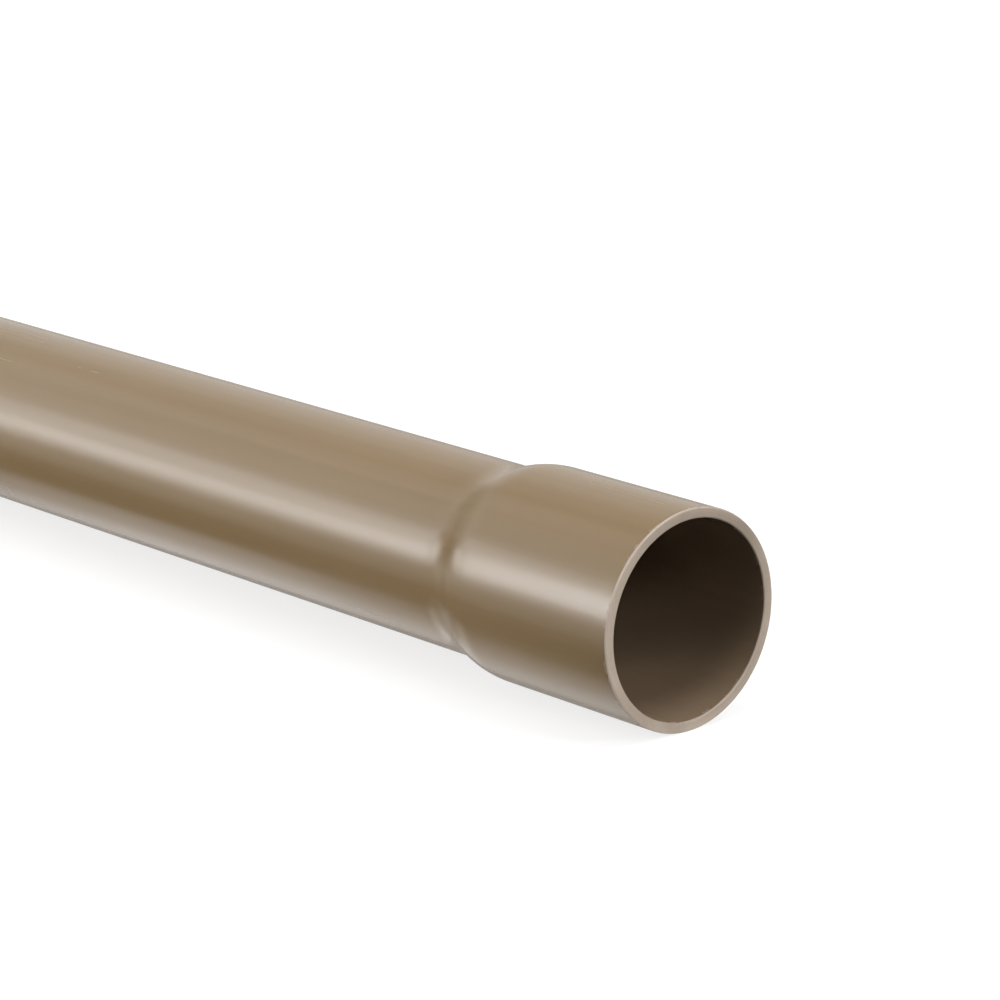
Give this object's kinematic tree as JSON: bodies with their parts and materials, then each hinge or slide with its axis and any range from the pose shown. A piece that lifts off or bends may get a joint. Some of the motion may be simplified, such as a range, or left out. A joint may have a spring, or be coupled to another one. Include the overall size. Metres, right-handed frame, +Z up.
{
  "type": "pvc water pipe",
  "caption": "Rigid brown plastic pressure pipe with a bell socket formed at one end and a plain bevelled end, for solvent-welded cold water lines.",
  "frame": {"origin": "on the floor plane under the middle of the pipe's length, directly below its axis", "axes": "+X along the pipe's axis towards the socket mouth, +Z up from the floor that the pipe lies on, +Y to its left seen from the plain end"},
  "size_m": [3, 0.0556, 0.0557],
  "materials": {
    "brown_pvc": "satin"
  },
  "bodies": {
    "root": {"pipe": "brown_pvc"}
  },
  "joints": []
}
